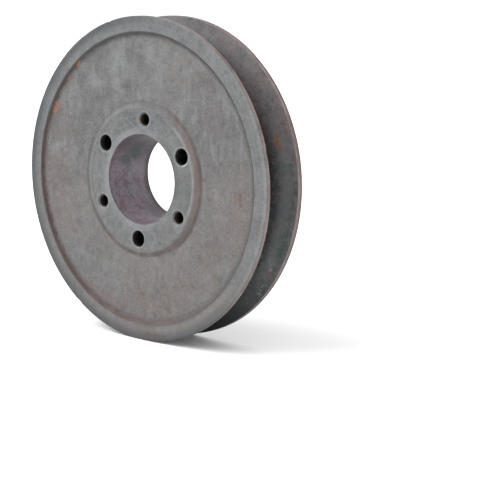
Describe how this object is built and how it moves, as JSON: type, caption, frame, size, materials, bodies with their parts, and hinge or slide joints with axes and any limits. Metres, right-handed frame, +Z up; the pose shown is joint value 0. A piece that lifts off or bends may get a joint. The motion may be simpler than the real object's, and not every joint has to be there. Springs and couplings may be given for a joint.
{
  "type": "v belt pulley",
  "caption": "Grooved cast iron V belt pulley with a solid web and a hub bored and drilled for a bolted taper bushing.",
  "frame": {"origin": "on the bore axis, in the middle plane of the belt groove", "axes": "+Y along the bore axis from the bushing side, called the front, towards the rear; +Z up, 4 degrees from the nearest tapped screw hole"},
  "size_m": [0.175, 0.0299, 0.175],
  "materials": {
    "cast_iron": "bare grey iron, turned on the rim, hub face, bore and groove and as cast on the web, with light rust"
  },
  "bodies": {
    "root": {"sheave": "cast_iron"}
  },
  "joints": []
}
